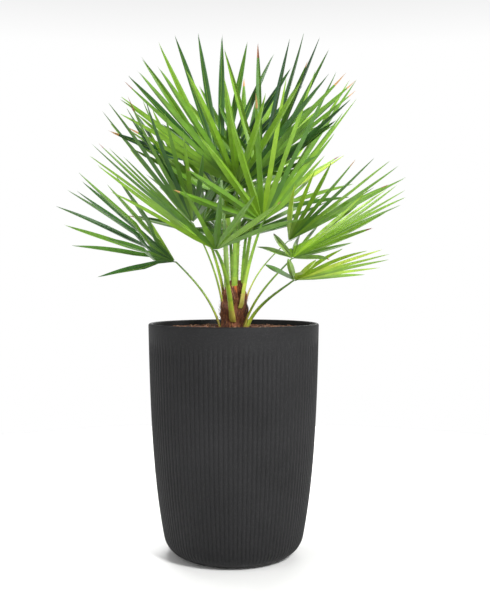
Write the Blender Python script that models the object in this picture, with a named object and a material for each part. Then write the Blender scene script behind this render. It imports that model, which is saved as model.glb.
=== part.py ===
"""A potted European fan palm: a tall round pot that narrows to its foot, the soil in it, a short
fibrous trunk and the fronds, each a stalk and a folded fan of leaflets. Metres, +Z up, the origin
under the pot's middle, the plant's front towards -Y."""

import math
from typing import NamedTuple

import bmesh
import bpy
from mathutils import Vector
from mathutils.bvhtree import BVHTree

# Pot
RIM_RADIUS = 0.200
POT_HEIGHT = 0.545
POT_TAPER = 0.0088  # how far the wall leans in evenly from rim to foot
POT_BELLY = 0.0145  # and by the square of the way down
POT_TUCK = 0.0221  # and by its fourth power, which draws the foot in
FOOT_ARC = 0.057  # radius between wall and underside
WALL = 0.009
LIP_ARC = WALL / 2
POT_SIDES = 64
WALL_RINGS = 9
ARC_STEPS = 5
ARC_ROUNDS = 20  # passes that settle where the foot's arc meets the leaning wall
SLOPE_STEP = 0.0005
SHARP_ANGLE = 50

# Soil
SOIL_DROP = 0.014  # from the rim down to the soil's edge
SOIL_MOUND = 0.004  # how much higher the soil stands at the trunk
MOUND_RINGS = ((0.6, 0.6), (0.25, 1.0))  # share of the soil's radius, share of the mound
CLEAR = 0.0003  # gap between neighbouring solids
SOIL_TOP = POT_HEIGHT - SOIL_DROP

# Trunk
TRUNK_FOOT = Vector((-0.001, 0.0, SOIL_TOP + SOIL_MOUND + CLEAR))
TRUNK_TOP = Vector((0.004, 0.004, 0.642))
TRUNK_SIDES = 16
TRUNK_WIDTHS = (0.031, 0.026, 0.028, 0.030, 0.029, 0.027, 0.026, 0.023, 0.018, 0.009)
TRUNK_LUMP = 0.0018
LUMPS_ROUND = 3
LUMP_TWIST = 2.3

# Stalks
STALK_SIDES = 6
STALK_RINGS = 7
STALK_FLATNESS = 0.62
STALK_TIP_SHARE = 0.55  # width at the blade over width at the foot
STALK_STEEP = 0.9  # how much of straight up is mixed into the way a stalk leaves the trunk
STALK_CARRY = 1.2  # how much of its chord's way a stalk keeps where it meets the blade
STALK_LEAVE = 0.38  # handles of the stalk's curve over its chord, at its foot and at the blade
STALK_MEET = 0.33
STALK_GAP = 0.001  # room between the stalk's tip and the blade's hub, besides the clearance
CURVE_STEP = 0.01
FOOT_STEP = 0.0005

# Blades
WEB_SHARE = 0.22  # part of the reach over which leaflets are joined
WEB_GUARD = 0.06  # part of the reach beyond that which other blades leave free
SIDE_SHARE = 0.82  # length of the outermost leaflets over the middle one
LEAFLET_WIDTH = 0.0185
LEAFLET_THICKNESS = 0.0038
FOLD_DEPTH = 0.0035
HUB_RISE = 0.002
SECTIONS = ((0.26, 1.0), (0.67, 0.78))  # share of the free length, share of the width
PAD = 0.0009  # room kept round a leaflet while it finds its way
SHORTER = (1.0, 0.85, 0.7, 0.55, 0.4, 0.25, 0.12, 0.06)  # share of the free length kept
LIFTS = (0, 3, -3, 6, -6, 9, -9, 13, -13)
TURNS = (0, 2, -2)
PART_SHARE = 0.12  # where two leaflets of one blade count as parted, towards their first section


class Frond(NamedTuple):
    """One frond. Angles are degrees: a heading runs from +X towards +Y, and 0 rise is level."""

    turn: float  # heading of the blade's hub from the trunk
    out: float  # the hub's distance from the trunk's middle line
    up: float  # the hub's height over the soil
    foot_turn: float  # heading of the stalk's foot
    foot_up: float
    width: float  # of the stalk at its foot
    aim: float  # heading of the middle leaflet
    rise: float
    roll: float
    spread: float
    count: int
    reach: float
    cup: float  # how far the side leaflets stand up out of the fan
    sag: float


FRONDS = {
    "left_low": Frond(200, 0.143, 0.157, 185, 0.004, 0.009, 198, 30, 36, 96, 12, 0.305, 2, 0.04),
    "front": Frond(253, 0.136, 0.182, 265, 0.024, 0.014, 238, 18, 18, 126, 13, 0.378, 25, 0.03),
    "left_mid": Frond(180, 0.098, 0.250, 190, 0.062, 0.009, 181, 52, -12, 170, 15, 0.340, 12, 0.03),
    "left_back": Frond(137, 0.105, 0.255, 150, 0.070, 0.009, 130, 58, -12, 150, 14, 0.350, 16, 0.03),
    "centre_front": Frond(278, 0.060, 0.327, 265, 0.100, 0.010, 280, 24, 0, 190, 17, 0.375, 35, 0.02),
    "top_left": Frond(118, 0.070, 0.367, 160, 0.096, 0.010, 124, 81, 9, 134, 14, 0.358, 14, 0.03),
    "top_right": Frond(25, 0.067, 0.350, 20, 0.096, 0.010, 43, 75, -5, 140, 13, 0.370, 20, 0.03),
    "right_upper": Frond(335, 0.072, 0.249, 300, 0.055, 0.012, 315, 54, -14, 156, 15, 0.390, 14, 0.02),
    "right_back": Frond(28, 0.148, 0.210, 20, 0.070, 0.007, 356, 30, 7, 146, 15, 0.325, 17, 0.04),
    "right_mid": Frond(332, 0.150, 0.165, 320, 0.004, 0.009, 14, 35, -6, 176, 16, 0.303, 6, 0.04),
    "right_low": Frond(348, 0.142, 0.115, 345, 0.002, 0.010, 318, 20, 3, 134, 10, 0.240, 2, 0.05),
    "back_low": Frond(95, 0.130, 0.215, 95, 0.045, 0.010, 95, 28, 0, 180, 15, 0.310, 18, 0.03),
    "back_left": Frond(112, 0.095, 0.325, 125, 0.080, 0.009, 112, 48, 0, 160, 14, 0.310, 16, 0.02),
    "back_right": Frond(72, 0.120, 0.275, 60, 0.060, 0.009, 68, 42, 0, 150, 14, 0.310, 16, 0.02),
    "back_upper": Frond(78, 0.100, 0.375, 85, 0.096, 0.009, 78, 60, 0, 120, 12, 0.310, 14, 0.01),
}


def clear_scene():
    for found in list(bpy.data.objects):
        bpy.data.objects.remove(found, do_unlink=True)


def material(name, colour, roughness):
    made = bpy.data.materials.new(name)
    made.use_nodes = True
    shader = made.node_tree.nodes["Principled BSDF"]
    shader.inputs["Base Color"].default_value = (*colour, 1.0)
    shader.inputs["Roughness"].default_value = roughness
    shader.inputs["Metallic"].default_value = 0.0
    made.diffuse_color = (*colour, 1.0)
    return made


def add_object(name, points, faces, finish, smooth=False):
    """The object of these points and faces, with its faces turned outwards."""
    mesh = bpy.data.meshes.new(name)
    mesh.from_pydata([tuple(point) for point in points], [], faces)
    work = bmesh.new()
    work.from_mesh(mesh)
    bmesh.ops.recalc_face_normals(work, faces=work.faces)
    bmesh.ops.triangulate(work, faces=[face for face in work.faces if len(face.verts) > 3])
    work.to_mesh(mesh)
    work.free()
    if smooth:
        mesh.shade_smooth()
        mesh.set_sharp_from_angle(angle=math.radians(SHARP_ANGLE))
    mesh.materials.append(finish)
    made = bpy.data.objects.new(name, mesh)
    bpy.context.scene.collection.objects.link(made)
    return made


def tube_faces(rings, sides):
    """Quads between rings of points, and a cap on each end."""
    faces = []
    for ring in range(rings - 1):
        for side in range(sides):
            here = ring * sides + side
            beside = ring * sides + (side + 1) % sides
            faces.append((here, beside, beside + sides, here + sides))
    faces.append(tuple(range(sides)))
    faces.append(tuple(range((rings - 1) * sides, rings * sides)))
    return faces


def turned(profile, sides):
    """Points and faces of a profile of (radius, height) turned round Z, closed on the axis."""
    points = []
    for radius, height in profile:
        for side in range(sides):
            angle = 2 * math.pi * side / sides
            points.append((radius * math.cos(angle), radius * math.sin(angle), height))
    return points, tube_faces(len(profile), sides)


def pot_radius(height):
    """The outer wall's radius, without the arc at its foot."""
    down = 1 - height / POT_HEIGHT
    return RIM_RADIUS - POT_TAPER * down - POT_BELLY * down**2 - POT_TUCK * down**4


def wall_slope(height):
    rise = pot_radius(height + SLOPE_STEP) - pot_radius(height - SLOPE_STEP)
    return rise / (2 * SLOPE_STEP)


def foot_profile(inset):
    """Points of the arc between underside and wall, moved in by inset, from the flat upwards."""
    meet = FOOT_ARC
    for _ in range(ARC_ROUNDS):
        lean = math.atan(wall_slope(meet))
        meet = FOOT_ARC * (1 - math.sin(lean))
    centre = pot_radius(meet) - FOOT_ARC * math.cos(lean)
    points = []
    for step in range(ARC_STEPS + 1):
        angle = -math.pi / 2 + (math.pi / 2 - lean) * step / ARC_STEPS
        radius = centre + (FOOT_ARC - inset) * math.cos(angle)
        points.append((radius, FOOT_ARC + (FOOT_ARC - inset) * math.sin(angle)))
    return points, meet


def wall_profile(inset, low, high, rings):
    """Points up the wall, moved in square to it by inset."""
    points = []
    for ring in range(1, rings + 1):
        height = low + (high - low) * ring / rings
        lean = math.atan(wall_slope(height))
        points.append((pot_radius(height) - inset * math.cos(lean), height + inset * math.sin(lean)))
    return points


def lip_profile():
    """The rounded lip, from the outer wall over to the inner one."""
    middle = RIM_RADIUS - LIP_ARC
    points = []
    for step in range(ARC_STEPS + 1):
        angle = math.pi * step / ARC_STEPS
        points.append(
            (middle + LIP_ARC * math.cos(angle), POT_HEIGHT - LIP_ARC + LIP_ARC * math.sin(angle))
        )
    return points


def add_pot():
    arc, meet = foot_profile(0.0)
    inner_arc, _ = foot_profile(WALL)
    top = POT_HEIGHT - LIP_ARC
    outside = arc + wall_profile(0.0, meet, top, WALL_RINGS)[:-1]
    inside = inner_arc + wall_profile(WALL, meet, top, WALL_RINGS)[:-1]
    points, faces = turned(outside + lip_profile() + inside[::-1], POT_SIDES)
    add_object("pot", points, faces, material("pot", (0.022, 0.022, 0.023), 0.62), smooth=True)


def add_soil():
    arc, meet = foot_profile(WALL + CLEAR)
    wall = wall_profile(WALL + CLEAR, meet, SOIL_TOP, WALL_RINGS)
    edge = wall[-1][0]
    mound = [(edge * share, SOIL_TOP + SOIL_MOUND * rise) for share, rise in MOUND_RINGS]
    points, faces = turned(arc + wall + mound, POT_SIDES)
    add_object("soil", points, faces, material("soil", (0.060, 0.028, 0.017), 0.95))


def trunk_middle(share):
    return TRUNK_FOOT.lerp(TRUNK_TOP, share)


def trunk_radius(share):
    """The trunk's radius at this share of its height, read between its widths."""
    place = share * (len(TRUNK_WIDTHS) - 1)
    low = min(int(place), len(TRUNK_WIDTHS) - 2)
    return TRUNK_WIDTHS[low] + (TRUNK_WIDTHS[low + 1] - TRUNK_WIDTHS[low]) * (place - low)


def add_trunk():
    """The trunk, lumpy with old leaf bases, from its flat cut at the soil to its blunt tip."""
    rings = len(TRUNK_WIDTHS)
    points = []
    for ring in range(rings):
        share = ring / (rings - 1)
        middle = trunk_middle(share)
        for side in range(TRUNK_SIDES):
            angle = 2 * math.pi * side / TRUNK_SIDES
            lump = math.sin(LUMPS_ROUND * angle + LUMP_TWIST * ring) * math.sin(math.pi * share)
            radius = trunk_radius(share) + TRUNK_LUMP * lump
            points.append(middle + Vector((radius * math.cos(angle), radius * math.sin(angle), 0)))
    finish = material("trunk", (0.110, 0.040, 0.018), 0.9)
    return add_object("trunk", points, tube_faces(rings, TRUNK_SIDES), finish)


def heading(turn, rise=0.0):
    """The unit vector of this heading and rise."""
    turn = math.radians(turn)
    rise = math.radians(rise)
    return Vector((math.cos(rise) * math.cos(turn), math.cos(rise) * math.sin(turn), math.sin(rise)))


def hub_of(frond):
    middle = trunk_middle(0.5)
    place = heading(frond.turn) * frond.out
    return Vector((middle.x + place.x, middle.y + place.y, SOIL_TOP + frond.up))


def axes_of(frond):
    """The blade's forward, sideways and upper-face directions."""
    forward = heading(frond.aim, frond.rise)
    face = heading(frond.aim + 180, 90 - frond.rise)
    side = face.cross(forward)
    roll = math.radians(frond.roll)
    face = face * math.cos(roll) + side * math.sin(roll)
    return forward, face.cross(forward), face


def stalk_curve(foot, hub, forward):
    """The four points of the stalk's curve: it leaves the trunk steeply and meets the blade."""
    chord = hub - foot
    leave = (chord.normalized() + Vector((0, 0, STALK_STEEP))).normalized()
    meet = (chord.normalized() * STALK_CARRY + forward).normalized()
    first = foot + leave * chord.length * STALK_LEAVE
    return foot, first, hub - meet * chord.length * STALK_MEET, hub


def on_curve(curve, share):
    first, second, third, last = curve
    rest = 1 - share
    return (
        first * rest**3
        + second * 3 * share * rest**2
        + third * 3 * share**2 * rest
        + last * share**3
    )


def stalk_points(frond, foot):
    """Rings of points up the stalk, a flattened section that narrows towards the blade."""
    forward, side, face = axes_of(frond)
    hub = hub_of(frond)
    lean_back = max(0.0, frond.spread / 2 - 90)
    tip_width = frond.width * STALK_TIP_SHARE
    setback = CLEAR + STALK_GAP + tip_width / 2 * math.tan(math.radians(lean_back))
    curve = stalk_curve(foot, hub - forward * setback, forward)
    points = []
    for ring in range(STALK_RINGS):
        share = ring / (STALK_RINGS - 1)
        middle = on_curve(curve, share)
        before = on_curve(curve, max(0.0, share - CURVE_STEP))
        along = (on_curve(curve, min(1.0, share + CURVE_STEP)) - before).normalized()
        flat = (side - along * side.dot(along)).normalized()
        thick = flat.cross(along)
        width = frond.width * (1 - (1 - STALK_TIP_SHARE) * share)
        for corner in range(STALK_SIDES):
            angle = 2 * math.pi * corner / STALK_SIDES
            across = flat * math.cos(angle) + thick * math.sin(angle) * STALK_FLATNESS
            points.append(middle + across * width / 2)
    return points


def tree_of(made):
    mesh = made.data
    corners = [vertex.co for vertex in mesh.vertices]
    return BVHTree.FromPolygons(corners, [tuple(face.vertices) for face in mesh.polygons])


def stalk_foot(frond, trunk_tree):
    """The stalk's foot, moved out from the trunk until the whole stalk stands clear of it."""
    share = min(1.0, frond.foot_up / (TRUNK_TOP.z - TRUNK_FOOT.z))
    middle = trunk_middle(share)
    middle.z = SOIL_TOP + SOIL_MOUND + CLEAR + max(frond.foot_up, 0.0)
    out = trunk_radius(share) / 2
    while True:
        foot = middle + heading(frond.foot_turn) * out
        points = stalk_points(frond, foot)
        lowest = min(point.z for point in points)
        if lowest < SOIL_TOP + SOIL_MOUND + CLEAR:
            foot.z += SOIL_TOP + SOIL_MOUND + CLEAR - lowest
            points = stalk_points(frond, foot)
        tree = BVHTree.FromPolygons(points, tube_faces(STALK_RINGS, STALK_SIDES))
        near = min(trunk_tree.find_nearest(point)[3] for point in points)
        if near > CLEAR and not tree.overlap(trunk_tree):
            return foot
        out += FOOT_STEP


def leaflet_angle(frond, index):
    """Where leaflet index stands between -1, one side of the fan, and 1, the other."""
    return 2 * index / (frond.count - 1) - 1


def leaflet_way(frond, place, lift=0.0, turn=0.0):
    """The leaflet's direction and the direction of its upper face."""
    forward, side, face = axes_of(frond)
    angle = math.radians(frond.spread / 2 * place + turn)
    flat = forward * math.cos(angle) + side * math.sin(angle)
    stand = math.radians(frond.cup * abs(math.sin(angle)) + lift)
    return (
        flat * math.cos(stand) + face * math.sin(stand),
        face * math.cos(stand) - flat * math.sin(stand),
    )


def leaflet_length(frond, place):
    return frond.reach * (1 - (1 - SIDE_SHARE) * place**2)


def leaflet_point(frond, way, out):
    """The point on a leaflet's middle line this far out from the hub, with its sag."""
    drop = frond.sag * out**2 / frond.reach * math.hypot(way.x, way.y)
    return hub_of(frond) + way * out - Vector((0, 0, drop))


def web_point(frond, place, guard=0.0):
    """The point where two leaflets part, and the direction of the blade's face there."""
    way, face = leaflet_way(frond, place)
    return hub_of(frond) + way * frond.reach * (WEB_SHARE + guard), face


def leaflet_rings(frond, index, lift=0.0, turn=0.0, shorter=1.0, pad=0.0):
    """The free leaflet: for each section its left edge, valley, right edge and keel, and its tip."""
    place = leaflet_angle(frond, index)
    way, face = leaflet_way(frond, place, lift, turn)
    across = face.cross(way)
    web = frond.reach * WEB_SHARE
    free = (leaflet_length(frond, place) - web) * shorter
    rings = []
    for share, wide in SECTIONS:
        middle = leaflet_point(frond, way, web + free * share)
        half = LEAFLET_WIDTH / 2 * wide + pad
        valley = middle - face * (FOLD_DEPTH * wide - pad)
        keel = middle - face * (FOLD_DEPTH * wide + LEAFLET_THICKNESS * wide + pad)
        rings.append((middle - across * half, valley, middle + across * half, keel))
    return rings, leaflet_point(frond, way, web + free + pad)


def web_rings(frond, guard=0.0):
    """The hub, the points where leaflets part and the valleys between them, above and below."""
    _, _, face = axes_of(frond)
    hub = hub_of(frond)
    thick = LEAFLET_THICKNESS
    parts = []
    step = 2 / (frond.count - 1)
    for index in range(frond.count + 1):
        point, up = web_point(frond, leaflet_angle(frond, index) - step / 2, guard)
        parts.append((point, point - up * thick))
    valleys = []
    for index in range(frond.count):
        point, up = web_point(frond, leaflet_angle(frond, index), guard)
        valleys.append((point - up * FOLD_DEPTH, point - up * (FOLD_DEPTH + thick)))
    return (hub + face * HUB_RISE, hub - face * (thick + HUB_RISE)), parts, valleys


def web_solid(frond):
    """The joined part of the blade, a little larger, as a closed body that leaflets steer round."""
    hub, parts, valleys = web_rings(frond, WEB_GUARD)
    points = list(hub)
    for pair in parts:
        points.extend(pair)
    first_valley = len(points)
    for pair in valleys:
        points.extend(pair)
    faces = []
    for index in range(frond.count):
        left = 2 + 2 * index
        right = left + 2
        valley = first_valley + 2 * index
        faces += [(0, left, valley), (0, valley, right)]
        faces += [(1, left + 1, valley + 1), (1, valley + 1, right + 1)]
        faces += [(left, left + 1, valley + 1, valley), (valley, valley + 1, right + 1, right)]
    faces += [(0, 1, 3, 2), (0, 1, 2 * frond.count + 3, 2 * frond.count + 2)]
    return points, faces


def leaflet_faces(left, right, valley, base):
    """The faces of a free leaflet. The first three are the upper points of pairs at the web, and
    base is the first of the points of its sections, with the tip last."""
    faces = [(left, valley, base + 1, base), (valley, right, base + 2, base + 1)]
    faces += [(left + 1, valley + 1, base + 3, base), (valley + 1, right + 1, base + 2, base + 3)]
    faces += [(left, left + 1, base), (right, right + 1, base + 2)]
    for corner, beside in ((0, 1), (1, 2), (2, 3), (3, 0)):
        faces.append((base + corner, base + beside, base + beside + 4, base + corner + 4))
        faces.append((base + corner + 4, base + beside + 4, base + 8))
    return faces


def free_leaflet_tree(frond, index, start, bend):
    """One leaflet beyond the web, from this share of the way to its first section."""
    rings, tip = leaflet_rings(frond, index, pad=PAD, **bend)
    _, parts, valleys = web_rings(frond)
    left, valley, right, keel = rings[0]
    points = []
    for pair, ahead in ((parts[index], (left, left)), (parts[index + 1], (right, right)),
                        (valleys[index], (valley, keel))):
        points.extend(point.lerp(end, start) for point, end in zip(pair, ahead))
    return BVHTree.FromPolygons([*points, *rings[0], *rings[1], tip], leaflet_faces(0, 2, 4, 6))


def bends(frond):
    """Ways for a leaflet to go, the least bent and longest first."""
    for shorter in SHORTER:
        for lift in LIFTS:
            for turn in TURNS:
                yield {"lift": lift, "turn": turn, "shorter": shorter}


def find_way(frond, index, own, others):
    """The first bend that takes this leaflet clear of its own blade's leaflets and of the others."""
    for bend in bends(frond):
        apart = free_leaflet_tree(frond, index, PART_SHARE, bend)
        whole = free_leaflet_tree(frond, index, 0.0, bend)
        if any(apart.overlap(tree) for tree in own) or any(whole.overlap(tree) for tree in others):
            continue
        own.append(apart)
        return bend, whole
    raise ValueError(f"leaflet {index} has no way out")


def find_ways(name, solids):
    """The bend of each leaflet of this blade. The solids are (owner, tree) pairs, which it joins."""
    frond = FRONDS[name]
    own = []
    others = [tree for owner, tree in solids if owner != name]
    ways = []
    for index in range(frond.count):
        bend, whole = find_way(frond, index, own, others)
        ways.append(bend)
        solids.append((name, whole))
    return ways


def blade_mesh(frond, ways):
    """The whole blade as one closed body: web and leaflets share the points where they meet."""
    hub, parts, valleys = web_rings(frond)
    points = list(hub)
    faces = []
    part_at = []
    for pair in parts:
        part_at.append(len(points))
        points.extend(pair)
    for index, bend in enumerate(ways):
        left, right = part_at[index], part_at[index + 1]
        valley = len(points)
        points.extend(valleys[index])
        rings, tip = leaflet_rings(frond, index, **bend)
        base = len(points)
        points.extend([*rings[0], *rings[1], tip])
        faces += [(0, left, valley), (0, valley, right)]
        faces += [(1, left + 1, valley + 1), (1, valley + 1, right + 1)]
        faces += leaflet_faces(left, right, valley, base)
    faces += [(0, 1, part_at[0] + 1, part_at[0]), (0, 1, part_at[-1] + 1, part_at[-1])]
    return points, faces


def add_fronds(trunk):
    """Every stalk and web stands first, and each leaflet then finds its way past the others."""
    stalk_finish = material("stalk", (0.260, 0.400, 0.045), 0.45)
    blade_finish = material("blade", (0.085, 0.230, 0.025), 0.5)
    trunk_tree = tree_of(trunk)
    solids = [("trunk", trunk_tree)]
    faces = tube_faces(STALK_RINGS, STALK_SIDES)
    for name, frond in FRONDS.items():
        points = stalk_points(frond, stalk_foot(frond, trunk_tree))
        stalk = add_object("stalk_" + name, points, faces, stalk_finish)
        solids.append(("stalk", tree_of(stalk)))
        solids.append((name, BVHTree.FromPolygons(*web_solid(frond))))
    for name, frond in FRONDS.items():
        points, faces = blade_mesh(frond, find_ways(name, solids))
        add_object("blade_" + name, points, faces, blade_finish)


def main():
    clear_scene()
    add_pot()
    add_soil()
    add_fronds(add_trunk())


main()
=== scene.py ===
"""The looks of the potted European fan palm: fine leaflets, channelled stalks with thorns, a fibrous
trunk, bark mix and a ribbed pot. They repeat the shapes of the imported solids, and read from them
where the trunk stands and how each leaflet is bent."""

import math
import random
from typing import NamedTuple

import bmesh
import bpy
import numpy as np
from mathutils import Matrix, Vector, noise
from mathutils.bvhtree import BVHTree
from mathutils.kdtree import KDTree


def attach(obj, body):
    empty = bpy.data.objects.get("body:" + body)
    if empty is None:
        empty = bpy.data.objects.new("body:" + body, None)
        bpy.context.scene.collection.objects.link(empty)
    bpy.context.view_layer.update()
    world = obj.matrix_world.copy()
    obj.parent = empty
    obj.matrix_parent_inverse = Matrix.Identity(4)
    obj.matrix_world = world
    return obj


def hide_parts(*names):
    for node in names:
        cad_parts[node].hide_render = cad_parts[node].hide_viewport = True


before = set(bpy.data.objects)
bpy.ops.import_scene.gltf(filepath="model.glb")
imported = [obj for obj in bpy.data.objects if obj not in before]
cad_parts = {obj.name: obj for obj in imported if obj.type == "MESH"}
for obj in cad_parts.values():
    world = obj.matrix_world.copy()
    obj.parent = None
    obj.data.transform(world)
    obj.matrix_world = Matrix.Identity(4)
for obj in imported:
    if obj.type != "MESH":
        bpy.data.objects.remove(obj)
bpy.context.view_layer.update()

SEED = 7

# Pot, as in the solids
RIM_RADIUS = 0.200
POT_HEIGHT = 0.545
POT_TAPER = 0.0088
POT_BELLY = 0.0145
POT_TUCK = 0.0221
FOOT_ARC = 0.057
WALL = 0.009
LIP_ARC = WALL / 2
ARC_ROUNDS = 20
SLOPE_STEP = 0.0005

# Pot, its finish
RIB_COUNT = 112
RIB_POINTS = 8  # points round the wall for each rib
RIB_DEPTH = 0.0019
RIB_TOP = (0.486, 0.512)  # heights between which the ribs run out into the smooth band
RIB_FOOT = (0.006, 0.030)
POT_ARC_STEPS = 10
POT_WALL_RINGS = 40
POT_INNER_RINGS = 6
POT_LIP_STEPS = 8
RIB_ROUNDING = 0.8
POT_SHARP = 40
POT_ROUGHNESS = 0.62
POT_GLOSS = 0.16
POT_CLOUDS = (7.0, 0.22, 6.0)  # scale, amount and detail
SPECK_SCALE = 520.0
SPECK_EDGES = (0.05, 0.30)
SPECK_SHARE = (0.6, 0.6, 0.6)
SPECK_COLOUR = (0.085, 0.085, 0.088, 1.0)
PEBBLE_SCALE = 650.0
PEBBLE_DETAIL = 3.0
PEBBLE_BUMP = (0.35, 0.0006)

# Soil
SOIL_DROP = 0.014
SOIL_MOUND = 0.004
CLEAR = 0.0003
SOIL_TOP = POT_HEIGHT - SOIL_DROP
GROUND = SOIL_TOP + SOIL_MOUND + CLEAR
SOIL_SIDES = 144
SOIL_RINGS = 44
SOIL_RELIEF = 0.0022
MOUND_EDGE = 0.25  # share of the soil's radius at which the mound starts to fall
CRUMBS = ((130, 1.7, 1.0), (310, 4.1, 0.6))  # fineness, slice and weight of each layer of crumbs
CRUMB_EDGE = 0.93  # share of the radius from which the crumbs die out towards the pot
SOIL_SHARP = 60
CHIP_COUNT = 2300
CHIP_SIZE = (0.003, 0.0095)
CHIP_SHRINK = (0.6, 1.0)
CHIP_WIDTH = (0.35, 0.8)  # over the chip's length
CHIP_THICK = (0.14, 0.35)
CHIP_LEAN = 17
CHIP_REACH = 0.965  # share of the soil's radius that the chips keep within
CHIP_INNER = 0.012  # share of the soil's area, round the trunk, that they leave free
CHIP_RAISED = 0.45
CHIP_RAGGED = (0.72, 1.1)
CHIP_WEIGHTS = (5, 5, 4, 2, 3, 0.7)  # how often each soil colour comes up, the pale crumbs last
PALE_SIZE = (0.45, 0.5, 0.8)  # length, width and thickness of a pale crumb over a chip's

# Trunk, as in the solids
TRUNK_FOOT = Vector((-0.001, 0.0, GROUND))
TRUNK_TOP = Vector((0.004, 0.004, 0.642))
TRUNK_WIDTHS = (0.031, 0.026, 0.028, 0.030, 0.029, 0.027, 0.026, 0.023, 0.018, 0.009)
TRUNK_LUMP = 0.0018
LUMPS_ROUND = 3
LUMP_TWIST = 2.3

# Trunk, its finish
SKIN_SIDES = 128
SKIN_RINGS = 100
SKIN_SINK = 0.0020  # how far the skin's middle lies under the solid's outline
SKIN_SHARP = 70
RIDGES = (9, 5, 0.0016)  # fineness round the trunk and up it, and height
RIDGE_DETAIL = (2.7, 0.7)  # how much finer the second layer of ridges is, and its weight
HAIRS = (34, 9, 0.0009)
SHEATH_STEPS = 16
SHEATH_COLUMNS = 8
SHEATH_LEAN = 9
SHEATH_POINT = 2.4  # power by which a leaf base narrows
SHEATH_TIP = 0.0008
SHEATH_SUNK = 0.0004
SHEATH_PEEL = 0.0030  # how far its tip stands off the trunk
SHEATH_SWELL = 0.0018
SHEATH_THICK = 0.0008
SHEATH_RIDGES = (7, 2.5, 0.0007)  # fineness across it and along it, and height
SHEATH_LEAST_RADIUS = 0.012  # of the trunk it is bent round
SHEATH_SHARP = 60
STRAND_COUNT = 2200
STRAND_STEPS = 9
STRAND_SIDES = 3
STRAND_START = (-0.02, 0.86)  # share of the trunk's height
STRAND_TOP = 1.03
STRAND_RISE = (0.12, 0.5)
STRAND_DRIFT = 0.9
STRAND_PROUD = (-0.0010, 0.0028)
STRAND_WAVE = (0.0006, 5)
STRAND_RADIUS = (0.00022, 0.00055)
STRAND_THINNING = 0.75
STRAND_WEIGHTS = (3, 4, 5, 4, 2)
LOOSE_SHARE = 0.16
LOOSE_LIFT = (0.002, 0.010)

# Stalks, as in the solids
STALK_SIDES = 6
STALK_RINGS = 7
STALK_FLATNESS = 0.62
STALK_TIP_SHARE = 0.55
STALK_STEEP = 0.9
STALK_CARRY = 1.2
STALK_LEAVE = 0.38
STALK_MEET = 0.33
STALK_GAP = 0.001
CURVE_STEP = 0.01
FOOT_STEP = 0.0005

# Stalks, their finish
FINE_SIDES = 14
FINE_RINGS = 44
CHANNEL = 0.30  # how deep the upper side is hollowed, in shares of the section's half height
CHANNEL_FLOOR = 0.35
THORN_SPACING = 0.011
THORN_LENGTH = (0.0028, 0.0055)
THORN_WIDTH = 0.0011
THORN_SIDES = 4
THORN_OVAL = 1.5
THORN_LEAN = 0.55
THORN_FROM = 0.08  # share of the stalk's length
THORN_STRETCH = 0.80
THORN_SHIFT = 0.3
THORN_LIMITS = (0.05, 0.95)
THORN_SHRINK = 0.35
THORN_SUNK = 0.0003
LENGTH_STEPS = 20
STALK_FULLER = 1.16  # width of a fine stalk over the solid one's
STALK_HEIGHT = 1.1
STALK_SHARP = 45
FOOT_FLARE = 0.22
FLARE_END = 0.10
ROOT_SINK = 0.010  # how far the stalk runs on below its foot, into the trunk's fibre
ROOT_INWARD = 0.004
ROOT_LOWEST = 0.002  # under the soil's edge
ROOT_SIZE = (1.35, 0.7)  # width and height over the stalk's width
UNDER_HUB = ((0.004, 0.85), (0.014, 0.5), (0.026, 0.15))  # way under the blade, share of the tip's width
UNDER_HEIGHT = 0.6
UNDER_DROP = (0.0022, 0.06)

# Blades, as in the solids
WEB_SHARE = 0.22
SIDE_SHARE = 0.82
LEAFLET_WIDTH = 0.0185
FULL_WIDTH = 0.26  # share of its free length at which a leaflet is this wide
SHORTER = (1.0, 0.85, 0.7, 0.55, 0.4, 0.25, 0.12, 0.06)
LIFTS = (0, 3, -3, 6, -6, 9, -9, 13, -13)
TURNS = (0, 2, -2)

# Blades, their finish
FOLD_SHARE = 0.78  # depth of the fold over half the leaflet's width
LEAF_THICK = 0.0007
BOW = 0.07  # how far each half of a leaflet arches, in shares of its width
TOP_PLACES = (-1.0, -0.55, -0.09, 0.0, 0.09, 0.55, 1.0)
UNDER_PLACES = (0.55, 0.0, -0.55)
WEB_STEPS = (0.08, 0.22, 0.38, 0.54, 0.70, 0.85, 1.0)
NECK_STEPS = 4
FREE_STEPS = 15
SPLIT_SHARE = (0.90, 0.965)  # where a leaflet's tip splits in two
TAPER_POWER = 2.35
CURL = 0.007
SWAY = 0.006
TWIST = 30
HABIT_LEAN = -0.2
HABIT_SPREAD = 0.6
THINNING = 0.5
TIP_GAP = (0.0005, 0.0016)
TIP_BACK = (0.0, 0.45)  # how far one half of a split tip stays behind, in shares of its last stretch
RIB_SIDES = (2, 3)  # the two narrow strips along the fold
TIP_LOOPS = ((0, 1, 2, 3, 8, 9), (3, 4, 5, 6, 7, 8))  # corners of a section in each half of its tip
LEAF_SHARP = 32
NARROWER = 0.90  # width of a fine leaflet over the solid one's, where the next line names no other
NARROW = {"front": 0.74, "right_low": 0.78, "right_mid": 0.80, "centre_front": 0.84, "right_back": 0.84}
TONE_SPREAD = 1.0
DRY_SHARE = 0.14
DRY_FROM = (0.86, 0.97)  # share of a leaflet's free length from which a dry tip is brown
NEVER_DRY = 2.0


class Frond(NamedTuple):
    """One frond. Angles are degrees: a heading runs from +X towards +Y, and 0 rise is level."""

    turn: float
    out: float
    up: float
    foot_turn: float
    foot_up: float
    width: float
    aim: float
    rise: float
    roll: float
    spread: float
    count: int
    reach: float
    cup: float
    sag: float
    tone: float  # how far down the row of greens its leaflets lie: painted light and shade as well as the frond's own green


# The last number of each frond is painted light and shade as well as its own green: fronds facing the lamps
# get paler greens, and fronds in shade or showing their undersides get darker ones.
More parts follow.
